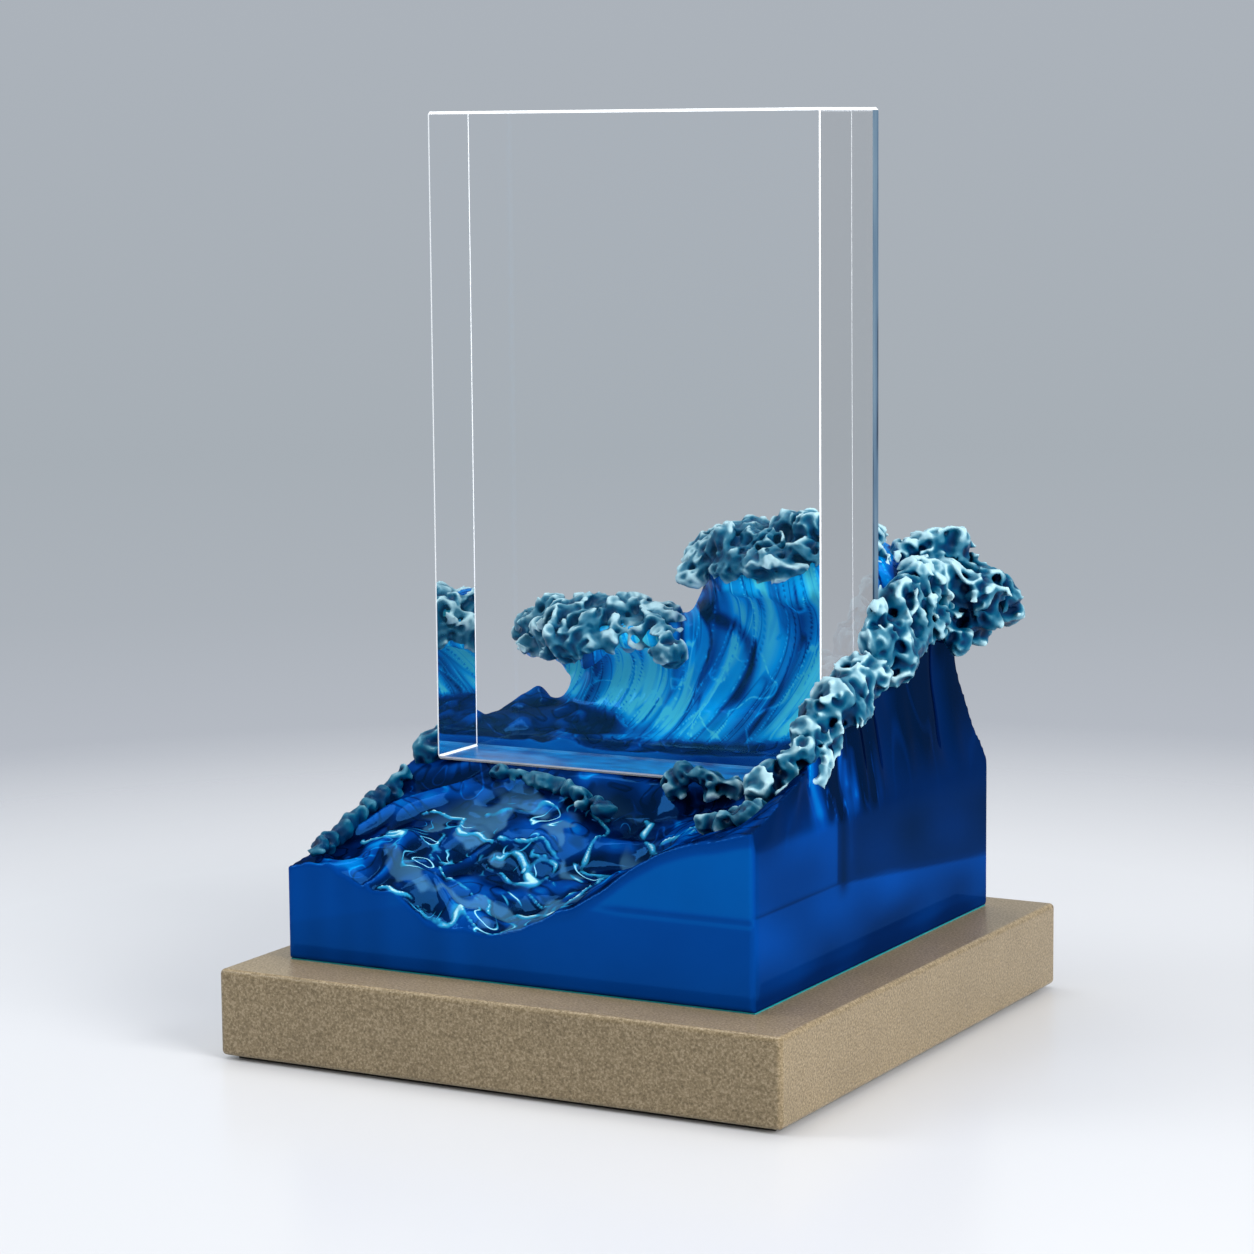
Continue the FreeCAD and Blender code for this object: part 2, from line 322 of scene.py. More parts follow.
def thin_lines(values, width):
    """One along the lines where a noise passes zero, and nothing away from them."""
    return ramp(width - np.abs(values), 0, width)


def sea_relief(x, y):
    """Ripples and foam lines on the water: the height to add, and where the foam lines are."""
    ahead = ramp(-y, 8, 16)
    behind = 0.35 + 0.65 * ahead
    calm_right = 1 - 0.75 * ramp(x, 18, 34) * ahead
    away = x - swell_centre[0], y - swell_centre[1]
    turn, reach = 60 * np.arctan2(*away), np.hypot(*away)
    bend = 2.4 * noise(0, x, y, 0, 26)
    swell = 1.15 * noise(1, turn + bend, reach + bend, 0, (40, 18, 1))
    crests = 1 - np.abs(noise(2, turn + bend, reach + 2 * bend, 0, (34, 14, 1)))
    fine = noise(3, x + bend, y + bend, 0, 8.5)
    ripples = swell + 1.1 * ramp(crests, 0.3, 1) + 0.22 * fine

    wobble_x = x + 1.6 * noise(1, x, y, 30, 7)
    wobble_y = y + 1.6 * noise(2, x, y, 30, 7)
    nearest = distance_to_strings(wobble_x, wobble_y, lace_strings)
    width = lace_width * (1 + 0.45 * noise(3, x, y, 60, 6))
    lace = band(nearest, 0, np.maximum(width, 0.3)) * (0.35 + 0.65 * ramp(noise(0, x, y, 120, 5), -0.9, 0.1))
    net = thin_lines(noise(3, x + 1.5 * bend, y - bend, 11, 9), 0.1)
    scattered = ramp(noise(1, x, y, 90, 12), -0.1, 0.6)
    lace = np.maximum(lace, 0.9 * net * scattered * bowl_share(x, y, *net_bowl)) * ahead

    humps = ramp(-x, 20, 36) * ramp(y, -2, 12)
    lumps = np.maximum(1.5 * noise(2, x, y, 50, 13) + 0.6 * noise(0, x, y, 50, 5.5), -0.5)
    return (ripples - 1.0) * calm_right * behind + lace_height * lace + humps * lumps, lace


# The two waves: one outline seen from the front, as shares of the block's width and the crest's height
wave_outline = (
    (0.94, 0.33), (0.955, 0.60), (0.93, 0.80), (0.85, 0.90), (0.75, 0.945), (0.64, 0.91),
    (0.55, 0.92), (0.495, 0.875), (0.505, 0.81), (0.465, 0.735), (0.40, 0.72), (0.31, 0.74),
    (0.21, 0.745), (0.13, 0.71), (0.085, 0.64), (0.10, 0.605), (0.145, 0.605), (0.175, 0.56),
    (0.165, 0.505), (0.11, 0.455), (0.06, 0.42), (0.07, 0.33),
)
# Place in the block's depth, slide to the left, width and height against the outline
wave_stations = np.array((
    (0.700, -0.075, 0.88, 0.86),
    (0.755, -0.045, 0.94, 0.96),
    (0.840, 0.000, 1.00, 1.00),
    (0.920, 0.030, 0.97, 0.98),
    (0.975, 0.045, 0.92, 0.84),
))
left_barrel = ((-0.05, 0.80, 0.49), (0.47, 0.715, 0.56), 10.0)
right_barrel = ((0.60, 0.735, 0.665), (0.90, 0.675, 0.665), 13.0)
wave_blend = 4.0
shore_blend = 3.0
OUTLINE_STEPS = 10
OUTLINE_ROOM = 25
END_SHARE = 0.05


def round_outline(points):
    """A smooth closed curve through the points."""
    points = np.array(points)
    before, after, beyond = np.roll(points, 1, 0), np.roll(points, -1, 0), np.roll(points, -2, 0)
    t = np.linspace(0, 1, OUTLINE_STEPS, endpoint=False)[None, :, None]
    curve = 0.5 * (
        2 * points[:, None]
        + (after - before)[:, None] * t
        + (2 * before - 5 * points + 4 * after - beyond)[:, None] * t ** 2
        + (3 * points - before - 3 * after + beyond)[:, None] * t ** 3
    )
    return curve.reshape(-1, 2)


def outline_distance(x, z, outline):
    """Signed distance to a closed outline, negative inside."""
    closed = np.vstack((outline, outline[:1]))
    inside = np.zeros(x.shape, bool)
    for (x0, z0), (x1, z1) in zip(closed, closed[1:]):
        if z0 != z1:
            inside ^= ((z0 > z) != (z1 > z)) & (x < (x1 - x0) * (z - z0) / (z1 - z0) + x0)
    return np.where(inside, -1, 1) * distance_to_strings(x, z, (closed,))


def capsule(spots, start, end, radius):
    """Signed distance to a rounded bar; spots are x, y and z as arrays that fit together."""
    axis = end - start
    along = sum((spot - low) * part for spot, low, part in zip(spots, start, axis)) / (axis @ axis)
    along = np.clip(along, 0, 1)
    gaps = (spot - low - along * part for spot, low, part in zip(spots, start, axis))
    return np.sqrt(sum(gap ** 2 for gap in gaps)) - radius


def box_field(spots, low, high):
    """Above zero outside a box and below zero inside it."""
    outside = [np.maximum(least - spot, spot - most) for spot, least, most in zip(spots, low, high)]
    return np.maximum(np.maximum(outside[0], outside[1]), outside[2])


def open_grid(xs, ys, zs):
    """The three coordinates of a grid as arrays that fit together."""
    return xs[:, None, None], ys[None, :, None], zs[None, None, :]


def wave_field(xs, ys, zs):
    """The two waves with the hollows under their lips."""
    outline = round_outline([place(across, 0, height)[[0, 2]] for across, height in wave_outline])
    table_x = np.arange(block_low[0] - OUTLINE_ROOM, block_high[0] + OUTLINE_ROOM, VOXEL)
    table_z = np.arange(block_foot, block_foot + 1.4 * crest_height, VOXEL)
    table = outline_distance(*np.meshgrid(table_x, table_z, indexing="ij"), outline)
    anchor = place(wave_outline[0][0], 0, wave_outline[0][1])
    shapes = [np.polyfit(wave_stations[:, 0], wave_stations[:, k], len(wave_stations) - 1) for k in (1, 2, 3)]
    field = np.full((len(xs), len(ys), len(zs)), BAND, np.float32)
    first, last = wave_stations[0, 0], wave_stations[-1, 0]
    for j, y in enumerate(ys):
        depth = (y - block_low[1]) / block_size[1]
        if not first - END_SHARE < depth < last + END_SHARE:
            continue
        slide, width, height = (np.polyval(shape, np.clip(depth, first, last)) for shape in shapes)
        at_x = anchor[0] + (xs + slide * block_size[0] - anchor[0]) / width
        at_z = anchor[2] + (zs - anchor[2]) / height
        spots = np.stack(np.meshgrid(at_x, at_z, indexing="ij"), -1)
        plane = sample_grid(table, (table_x[0], table_z[0]), VOXEL, spots)
        end_gap = max(first - depth, depth - last) * block_size[1]
        field[:, j, :] = smooth_max(plane * min(width, height), end_gap, wave_blend)
    for start, end, radius in (left_barrel, right_barrel):
        hollow = capsule(open_grid(xs, ys, zs), place(*start), place(*end), radius)
        field = smooth_max(field, -hollow, wave_blend)
    return field


# Hollowed back and right side of the raised glass: how deep it is cut in against the height
waist_height = 34.0
fold_fade = 12.0
waist_heights = (0.0, 0.10, 0.25, 0.38, 0.50, 0.80, 1.30)
back_waist = (0.0, 0.010, 0.035, 0.058, 0.064, 0.050, 0.0)
side_waist = (0.0, 0.006, 0.022, 0.040, 0.044, 0.034, 0.0)
side_waist_front = 0.25


def waist_inset(insets, zs):
    """How deep a wall is hollowed at each height, as a share of the block's size."""
    rise = (zs - block_foot - waist_height) / (crest_height - waist_height)
    return soften(np.interp(rise, waist_heights, insets, 0, 0), 6)


def body_field(xs, ys, zs):
    """The blue block; also where the foam lines are, the water's level and its relief, on the flat grid."""
    x, y, z = open_grid(xs, ys, zs)
    relief, lace = sea_relief(*np.meshgrid(xs, ys, indexing="ij"))
    level = sea_level(xs, ys) + relief
    slope_x, slope_y = np.gradient(level, VOXEL)
    lean = 1 / np.sqrt(1 + slope_x ** 2 + slope_y ** 2)
    sea = (z - level[:, :, None]) * lean[:, :, None]
    top = smooth_min(sea, wave_field(xs, ys, zs), shore_blend)
    near = np.abs(top) < BAND
    i, j, k = np.nonzero(near)
    top[near] -= flutes(xs[i], ys[j], zs[k], sea[near])
    centre = (block_low[:2] + block_high[:2]) / 2
    half = block_size[:2] / 2 - edge_radius
    out_x, out_y = np.abs(x - centre[0]) - half[0], np.abs(y - centre[1]) - half[1]
    sides = np.hypot(np.maximum(out_x, 0), np.maximum(out_y, 0)) + np.minimum(np.maximum(out_x, out_y), 0)
    body = np.maximum(top, sides - edge_radius)
    body = np.maximum(body, block_foot - z)
    raised = ramp(z, block_foot + waist_height, block_foot + waist_height + fold_fade)
    back_folds = raised * (0.3 + 0.5 * noise(1, x, 0, z, (14, 1, 80)))
    back = block_high[1] - waist_inset(back_waist, zs) * block_size[1] - np.maximum(back_folds, 0)
    body = np.maximum(body, y - back)
    share = side_waist_front + (1 - side_waist_front) * (y - block_low[1]) / block_size[1]
    side_folds = raised * (0.5 + 0.7 * noise(2, 0, y, z, (1, 10, 60)))
    side = waist_inset(side_waist, zs) * block_size[0] * share
    body = np.maximum(body, x - (block_high[0] - side - np.maximum(side_folds, 0)))
    pocket_low = (*plate_low[:2] - pocket_clearance, seat_level)
    pocket_high = (*plate_high[:2] + pocket_clearance, math.inf)
    return np.maximum(body, -box_field((x, y, z), pocket_low, pocket_high)), lace, level, relief


def stripe_place(x, y, z):
    """Place across the streaks that sweep down the faces of the waves."""
    turning = 82 + 13 * ramp(x, -12, 6)
    bow = 0.032 - 0.014 * ramp(x, -12, 6)
    return x + 0.35 * y + bow * (z - turning) ** 2


def streaks(stripe, z):
    """Broad and narrow streaks down the faces of the waves."""
    return noise(0, stripe, 0, z, (7.5, 1, 70)), noise(1, stripe, 0, z, (3.2, 1, 40))


def flutes(x, y, z, above_sea):
    """Grooves that sweep down the faces of the waves, as a depth to take off."""
    broad, narrow = streaks(stripe_place(x, y, z), z)
    return ramp(above_sea, 1.5, 7) * (0.6 * broad + 0.25 * narrow)


# Pale drips below the foam on the right wall, as places in depth and height
drip_width = 1.3
wall_drips = (
    ((-14.0, 70.0), (-15.0, 66.0), (-16.6, 60.0)), ((-7.9, 70.0), (-7.4, 65.0), (-7.8, 60.5)),
    ((-19.2, 61.0), (-19.6, 57.5)), ((-11.0, 68.0), (-11.4, 63.5)),
)
# The painted shade in the recess between the two waves, as places across and up
recess_width = 1.7
recess_line = ((0.0, 96.0), (5.0, 91.5), (9.0, 86.5), (10.0, 81.0), (9.5, 74.5))


def wave_tones(x, y, z, above):
    """Streaks down the waves, painted highlights and glints, and painted shade in the recess and at the foot.
    """
    stripe = stripe_place(x, y, z)
    broad, narrow = streaks(stripe, z)
    # Painted highlights: thin light lines along the streaks
    painted_highlights = thin_lines(noise(2, stripe, 0, z, (4.6, 1, 34)), 0.15)
    dark = thin_lines(noise(3, stripe, 0, z, (4.6, 1, 36)), 0.2)
    dark = dark * ramp(noise(0, x, y, z, 20), -0.8, 0.3)
    deep = thin_lines(noise(0, stripe + 70, 0, z, (7.5, 1, 30)), 0.34)
    deep = deep * ramp(noise(2, x, y, z, 15), -0.1, 0.6)
    cloud = noise(3, x, y, z, 26)
    # Painted glints low on the waves
    glints = thin_lines(noise(1, x, 0, z, 9), 0.12) * ramp(18 - above, 0, 8)
    # Painted shade in the recess between the waves, and darker just above the water at their foot
    recess_shade = band(distance_to_strings(x, z, (recess_line,)), 0, recess_width)
    tone = 0.76 - 0.12 * broad - 0.08 * narrow + 0.08 * cloud
    tone += 0.3 * painted_highlights - 0.32 * dark - 0.45 * deep + 0.3 * glints
    return tone - 0.5 * recess_shade - 0.1 * ramp(5 - above, 0, 4)


def sea_tones(relief, y):
    """Painted highlights on crests, painted shade in troughs, on the flat grid; paler water behind the plate.
    """
    crest = relief - soften(relief, 3.0 / VOXEL)
    return 0.2 + 0.22 * np.tanh(crest / 0.5) + 0.18 * ramp(y, 5, 20)


# Length of one swirl of the strokes on the water, and of one streak on the waves across and down
swirl_length = 9.0
streak_lengths = (5.0, 42.0)


def flow_places(x, y, z, raised):
    """Places that follow the water: swirls on the sea and sweeps down the waves."""
    bend = 3.0 * noise(0, x, y, 0, 22)
    swirls = np.stack(((x + bend) / swirl_length, (y - bend) / swirl_length, 0 * x), -1)
    sweeps = np.stack((stripe_place(x, y, z) / streak_lengths[0], z / streak_lengths[1], 0 * x + 7.0), -1)
    return np.where(raised[:, None] > 0.5, sweeps, swirls)


# Painted inner light and shade of the cast walls: the pale panel at the front right corner, the water's edge
# seen through the right wall, and the dark upright line there
panel_foot = 40.0
shore_height = 42.0
shore_start = -19.0
dark_line_depth = -16.5
foot_shade_top = 26.0


def front_tones(x, z, above):
    """Painted light and shade of the front wall."""
    under_sea = ramp(-above, 1.5, 3.5)
    # Painted light: a pale panel below the water line with a light and a dark edge, a glow and rays on the
    # left
    panel_line = ramp(x, 16, 26) * ramp(57 - x, 0, 1)
    panel = ramp(x, 8, 20) * ramp(z - panel_foot, -0.3, 0.3) * under_sea
    panel -= 1.3 * panel_line * band(z, panel_foot + 0.9, 0.7)
    panel += 0.8 * panel_line * band(z, panel_foot - 0.3, 0.5)
    panel -= 0.6 * ramp(x, 0, 14) * (1 - under_sea)
    left_glow = ramp(-x, 15, 40) * ramp(z - 30 - 0.22 * (x + 60), -0.8, 0.8)
    rays = noise(1, x, 0, 0.2 * z, (9, 1, 60)) * ramp(-x, -10, 35)
    tone = 0.35 + 0.035 * ramp(x, -40, 30) + 0.06 * panel + 0.03 * left_glow + 0.025 * rays
    return tone - 0.04 * ramp(foot_shade_top - z, 0, 3)


def right_tones(y, z, rise):
    """Painted light and shade and pale drips on the right wall; rise is how far a place has left the block's
    lower part.
    """
    folds = noise(2, 0, y, z, (1, 10, 60))
    # Painted light and shade: gleams, the water's edge seen through, a pale panel and a dark upright line
    gleam = thin_lines(noise(0, 0, y, z, (1, 14, 70)), 0.2)
    drips = band(distance_to_strings(y, z, wall_drips), 0, drip_width)
    shore = ramp(z, 54, 60) * ramp(84 - z, 0, 8) * ramp(22 - np.abs(y + 12), 0, 8)
    shore_lines = 0.26 * thin_lines(noise(0, 0, y, z, (1, 7, 28)), 0.16)
    shore_lines += 0.14 * noise(1, 0, y, z, (1, 6, 40))
    waterline = shore_height - 0.1 * np.maximum(y - shore_start, 0)
    lower = ramp(waterline - z, -0.3, 0.5) * ramp(z, 24, 40)
    panel = ramp(shore_start - y, 0, 1.2) * ramp(z - waterline, 0, 0.8) * ramp(58 - z, 0, 3)
    dark_line = band(y, dark_line_depth, 2.4) * ramp(z, 37, 43)
    deep_side = ramp(y, -14, -8) * ramp(z - waterline, 0, 2)
    cloud = noise(3, 0, y, z, (1, 30, 14)) * (1 - rise)
    tone = 0.25 - 0.19 * rise + 0.07 * rise * folds + 0.12 * rise * gleam + 0.2 * drips
    tone += 0.13 * lower + 0.11 * panel - 0.17 * dark_line - 0.08 * deep_side + shore * shore_lines
    return tone - 0.05 * ramp(foot_shade_top - z, 0, 3) - 0.04 * cloud


def wall_tones(x, y, z, facing, above):
    """Painted light and shade of the cast walls, and how much each place belongs to one."""
    rise = ramp(z, 50, 76)
    tone_back = 0.33 - 0.08 * rise + 0.05 * rise * noise(1, x, 0, z, (14, 1, 80))
    walls = (
        (ramp(-facing[:, 1], 0.5, 0.8) * ramp(y - block_low[1], 2.5, 1), front_tones(x, z, above)),
        (ramp(facing[:, 1], 0.3, 0.7) * ramp(block_high[1] - y, 15, 10), tone_back),
        (ramp(-facing[:, 0], 0.5, 0.8) * ramp(x - block_low[0], 2.5, 1), 0.36),
        (ramp(facing[:, 0], 0.35, 0.75) * ramp(block_high[0] - x, 14, 8), right_tones(y, z, rise)),
    )
    total = sum(share for share, tone in walls)
    return sum(share * tone for share, tone in walls) / np.maximum(total, 1e-6), np.clip(total, 0, 1)


def build_wave_glass():
    low = block_low - MARGIN
    low[2] = block_foot - 2
    xs, ys, zs = (np.arange(low[a], block_high[a] + MARGIN, VOXEL) for a in range(3))
    field, lace, level, relief = body_field(xs, ys, zs)
    piece, points = mesh_piece("wave_glass", field, low, VOXEL)
    x, y, z = points.T
    facing = facing_of(piece)
    faces_up = ramp(facing[:, 2], 0.2, 0.5)

    def over_water(plane):
        return sample_grid(plane, low[:2], VOXEL, points[:, :2])

    above = z - over_water(level)
    humps = ramp(-x, 34, 46) * ramp(12 - above, 0, 4)
    raised = ramp(above, 0.2, 3.2 + 3 * humps) * ramp(y, 14, 24) * ramp(-x, -56.5, -50)
    sea = over_water(sea_tones(relief, ys[None, :]))
    sea += 0.05 * noise(2, x, y, 70, 5) + 0.05 * noise(1, x, y, 70, 13)
    # Painted shade: a dark line along the foot of the waves
    foot_shade_line = band(above, 0.6, 1.0) * ramp(y, 18, 24)
    top = sea + (wave_tones(x, y, z, above) - sea) * raised - 0.32 * foot_shade_line
    pocket_wall = ramp(np.abs(facing[:, 1]), 0.6, 0.9) * ramp(1.5 - np.abs(y - plate_high[1]), 0, 0.5)
    top += (0.42 + 0.05 * noise(1, x, y, z, (24, 9, 5)) - top) * pocket_wall
    wall, share = wall_tones(x, y, z, facing, above)
    back_folds = 0.5 * ramp(facing[:, 1], 0.3, 0.7) * ramp(z, 50, 70)
    bowl = bowl_share(x, y, *sparkle_bowl) * faces_up
    warp = 2.5 * noise(1, x, y, 40, 6)
    patches = noise(2, x + 0.4 * y + warp, y - 0.6 * warp, 40, (15, 8, 1))

    paint(piece, "tone", top + (wall - top) * share)
    paint(piece, "raised", raised)
    paint(piece, "lace", over_water(lace) * faces_up)
    paint(piece, "veil", ramp(patches, 0.5, 1.1) * bowl)
    paint(piece, "streaked", np.maximum((1 - share) * (1 - pocket_wall), back_folds))
    # Where painted glints go: the bowl in front of the plate, and low on the waves
    paint(piece, "painted_glints", (bowl + 0.25 * raised * ramp(22 - above, 0, 14)) * (1 - share))
    paint(piece, "flow", flow_places(x, y, z, raised))
    stand_for(piece, "wave_body")
    return piece, field, low


wave_glass, glass_field, glass_low = build_wave_glass()

# Foam: rows of lumps along the paths of the solids; places are shares of width, depth and height.
# A row is an offset from the path, and where along the path it starts and ends if it isn't all of it.
# A run has its rows, the radius of its lumps and its path.
crest_rows = ((0.060, -0.095, -0.065), (0.025, -0.042, -0.012), (0, 0, 0), (-0.025, 0.045, -0.004))
high_crest_rows = ((0.055, -0.085, -0.050, 0.15, 1), *crest_rows[1:])
low_crest_rows = ((0.060, -0.095, -0.065, 0.15, 0.6), (0.04, -0.07, -0.035, 0.15, 1), *crest_rows[1:])
peak_rows = ((0, 0, 0), (0.005, -0.055, -0.040), (-0.012, 0.030, -0.045), (-0.035, -0.03, -0.085),
             (-0.055, -0.10, -0.085, 0.25, 1))
apron_rows = ((-0.015, -0.01, 0.045), (0, 0, 0), (0.012, 0.02, -0.050))
one_row = ((0, 0, 0),)
ridge_rows = ((0, 0, 0), (-0.025, -0.01, -0.025), (0, 0, -0.04))
foam_runs = {
    "foam_crest_left": (low_crest_rows, 4.2, (
        (0.100, 0.83, 0.645), (0.120, 0.82, 0.688), (0.17, 0.81, 0.724), (0.25, 0.81, 0.738),
        (0.33, 0.81, 0.732), (0.40, 0.81, 0.718), (0.45, 0.79, 0.705),
    )),
    "foam_crest_right": (high_crest_rows, 4.2, (
        (0.495, 0.83, 0.860), (0.515, 0.83, 0.90), (0.57, 0.82, 0.94), (0.66, 0.82, 0.935),
        (0.74, 0.83, 0.965), (0.82, 0.84, 0.935),
    )),
    "foam_peak_right": (peak_rows, 4.2, (
        (0.87, 0.87, 0.895), (0.92, 0.90, 0.905), (0.97, 0.92, 0.885), (1.02, 0.94, 0.84),
        (1.05, 0.955, 0.79),
    )),
    "foam_apron_right": (apron_rows, 4.2, (
        (0.955, 0.60, 0.70), (0.955, 0.68, 0.76), (0.96, 0.76, 0.80), (0.96, 0.83, 0.82),
    )),
    "foam_ridge_upper": (ridge_rows, 4.3, (
        (0.975, 0.50, 0.685), (0.97, 0.42, 0.645), (0.965, 0.36, 0.60), (0.96, 0.32, 0.56),
    )),
    "foam_ridge_lower": (ridge_rows, 4.3, ((0.955, 0.29, 0.53), (0.945, 0.265, 0.505), (0.92, 0.235, 0.465))),
    "foam_patch_middle": (one_row, 3.4, (
        (0.62, 0.375, 0.40), (0.67, 0.365, 0.425), (0.71, 0.365, 0.42), (0.75, 0.375, 0.405),
    )),
    "foam_patch_front": (one_row, 3.4, ((0.82, 0.15, 0.37), (0.87, 0.14, 0.395), (0.93, 0.15, 0.405))),
    "foam_rope_left": (one_row, 2.2, (
        (0.035, 0.05, 0.245), (0.02, 0.13, 0.265), (0.02, 0.22, 0.29), (0.02, 0.31, 0.325),
        (0.025, 0.38, 0.36),
    )),
    "foam_shoulder_left": (one_row, 3.4, ((0.035, 0.43, 0.40), (0.035, 0.46, 0.43), (0.035, 0.49, 0.45))),
    "foam_line_sea": (one_row, 2.2, (
        (0.22, 0.385, 0.382), (0.30, 0.385, 0.378), (0.38, 0.375, 0.368), (0.45, 0.35, 0.352),
        (0.52, 0.32, 0.340),
    )),
    "foam_beads": (one_row, 1.1, ((0.90, 0.20, 0.425), (0.935, 0.20, 0.44), (0.965, 0.20, 0.46))),
}
# Runs that lie flat on the water and stay darker: how much to take off their paleness
dark_runs = {
    "foam_rope_left": 0.42, "foam_line_sea": 0.26, "foam_shoulder_left": 0.26,
    "foam_patch_front": 0.16, "foam_patch_middle": 0.16,
}
# Shares of a run's radius: lump spacing, how far lumps stray, and the sizes of lumps, nodules and pits
lump_pitch = 0.5
lump_stray = 0.24
lump_sizes = (0.5, 0.95)
nodule_sizes = (0.2, 0.38)
pit_sizes = (0.14, 0.28)
# Where nodules and pits sit, in radii of their lump
nodule_reach = 0.85
pit_reach = 1.15
# Pits for each lump, the foam's depth in the glass and the room around a run
pit_share = 0.35
foam_sunk = 1.0
foam_room = 3.0


def foam_blobs(rows, radius, path_shares, rng):
    """Centres and radii of lumps scattered along a run, with smaller nodules on them."""
    path = np.array([place(*shares) for shares in path_shares])
    steps = np.linalg.norm(np.diff(path, axis=0), axis=1)
    travelled = np.concatenate(((0,), np.cumsum(steps)))
    centres, radii = [], []
    for across, depth, height, *part in rows:
        offset = place(across, depth, height) - place(0, 0, 0)
        begin, end = travelled[-1] * np.array(part or (0, 1))
        count = max(3, int((end - begin) / (lump_pitch * radius)))
        for t in np.linspace(begin, end, count):
            middle = np.array([np.interp(t, travelled, path[:, a]) for a in range(3)]) + offset
            centres.append(middle + rng.normal(0, lump_stray * radius, 3))
            radii.append(radius * rng.uniform(*lump_sizes))
    for index in range(len(centres) * 2):
        parent = index % len(radii)
        way = rng.normal(0, 1, 3)
        way /= np.linalg.norm(way)
        size = radius * rng.uniform(*nodule_sizes)
        centres.append(centres[parent] + way * radii[parent] * nodule_reach)
        radii.append(size)
    return np.array(centres), np.array(radii)


def foam_crags(x, y, z):
    """Twisted ridges with pits between them, as a height."""
    twist = 0.9 * noise(0, x, y, z, 11)
    wide = 1.4 - 1.6 * np.hypot(noise(1, x + twist, y - twist, z + twist, 6.2), 0.35)
    narrow = 1.2 - 1.6 * np.hypot(noise(2, x - twist, y + twist, z, 3.0), 0.3)
    return 0.8 * wide + 0.4 * narrow


def build_foam(node, rows, radius, path_shares, seed):
    """One run of foam: lumps, nodules, pits and crags, cut to the glass below and kept off the plate."""
    rng = np.random.default_rng(seed)
    centres, radii = foam_blobs(rows, radius, path_shares, rng)
    low = centres.min(0) - radius - foam_room
    high = centres.max(0) + radius + foam_room
    axes = [np.arange(low[a], high[a], FOAM_VOXEL) for a in range(3)]
    field = np.full([len(axis) for axis in axes], BAND, np.float32)

    def window(centre, reach):
        """The cells around a centre, and how far each is from it."""
        first = np.maximum((centre - reach - low) / FOAM_VOXEL, 0).astype(int)
        last = ((centre + reach - low) / FOAM_VOXEL).astype(int) + 2
        spans = tuple(map(slice, first, last))
        spots = np.meshgrid(*[axis[span] for axis, span in zip(axes, spans)], indexing="ij", sparse=True)
        return spans, np.sqrt(sum((spot - middle) ** 2 for spot, middle in zip(spots, centre)))

    for centre, size in zip(centres, radii):
        spans, gap = window(centre, size + foam_room)
        field[spans] = smooth_min(field[spans], gap - size, 0.35 * size + 0.4)
    for index in rng.integers(0, len(radii), int(len(radii) * pit_share)):
        way = rng.normal(0, 1, 3)
        way[2] = abs(way[2])
        way /= np.linalg.norm(way)
        size = rng.uniform(*pit_sizes) * radius
        spans, gap = window(centres[index] + way * radii[index] * pit_reach, size + 2)
        field[spans] = smooth_max(field[spans], size - gap, 0.5)
    x, y, z = np.meshgrid(*axes, indexing="ij")
    near = np.abs(field) < 3.5
    field[near] -= np.clip(0.24 * radius, 0.4, 1) * foam_crags(x[near], y[near], z[near])
    buried = sample_grid(glass_field, glass_low, VOXEL, np.stack((x, y, z), -1))
    field = np.maximum(field, -buried - foam_sunk)
    field = np.maximum(field, plate_gap - box_field((x, y, z), plate_low, plate_high))
    rounded = soften(field, 1.2 / FOAM_VOXEL)

    def seated(spots):
        return sample_grid(glass_field, glass_low, VOXEL, spots) < -0.3

    piece, points = mesh_piece(node.replace("foam", "pale_foam"), field, low, FOAM_VOXEL, seated)
    # Painted light and shade: paler on the lumps and on faces turned up, darker in the pits; dark runs also
    # darker in colour
    bulge_light_and_tone = (sample_grid(rounded, low, FOAM_VOXEL, points) + 0.45) / 1.35
    bulge_light_and_tone += 0.17 * facing_of(piece)[:, 2] + 0.06 * noise(0, *points.T, 15)
    paint(piece, "bulge_light_and_tone", bulge_light_and_tone - 0.04 - dark_runs.get(node, 0))
    stand_for(piece, node)
    return piece


foam_pieces = [
    build_foam(node, *run, seed) for seed, (node, run) in enumerate(foam_runs.items(), 11)
]


# The plate: polished faces, fine bevels, and a ground strip down the back of its right side
head_chamfer = 0.6
foot_chamfer = 0.5
# What each upright takes off the wide face's width and the narrow side's depth: left or right, front or back
upright_chamfers = {(0, 0): (0.8, 0.8), (1, 0): (0.25, 0.25), (0, 1): (0.12, 0.12), (1, 1): (0.25, 3.6)}
bond_lift = 0.05


def build_plate():
    low, high = np.array(plate_low), plate_high
    low[2] += bond_lift
    half, centre = (high - low) / 2, (high + low) / 2
    shell = bmesh.new()
    for signs in np.ndindex(2, 2, 2):
        end = head_chamfer if signs[2] else foot_chamfer
        across, depth = upright_chamfers[signs[:2]]
        for inset in ((end, end, 0), (0, depth, end), (across, 0, end)):
            shell.verts.new((centre + (half - inset) * (np.array(signs) * 2 - 1)) * MM)
    bmesh.ops.convex_hull(shell, input=shell.verts)
    bmesh.ops.dissolve_limit(shell, angle_limit=0.01, verts=shell.verts, edges=shell.edges)
    bmesh.ops.recalc_face_normals(shell, faces=shell.faces)
    for face in shell.faces:
        square = max(abs(part) for part in face.normal)
        bonded = face.normal.z < -0.9 or (face.normal.z < -0.1 and max(face.normal.x, face.normal.y) > 0.1)
        strip = 0.9 < square < 0.9999
        face.material_index = 2 if bonded else 3 if strip else int(square < 0.9)
    mesh = bpy.data.meshes.new("clear_plate")
    shell.to_mesh(mesh)
    shell.free()
    plate = add_object("clear_plate", mesh)
    stand_for(plate, "clear_slab")
    return plate


clear_plate = build_plate()


# Materials

BLACK, WHITE = (0, 0, 0), (1, 1, 1)


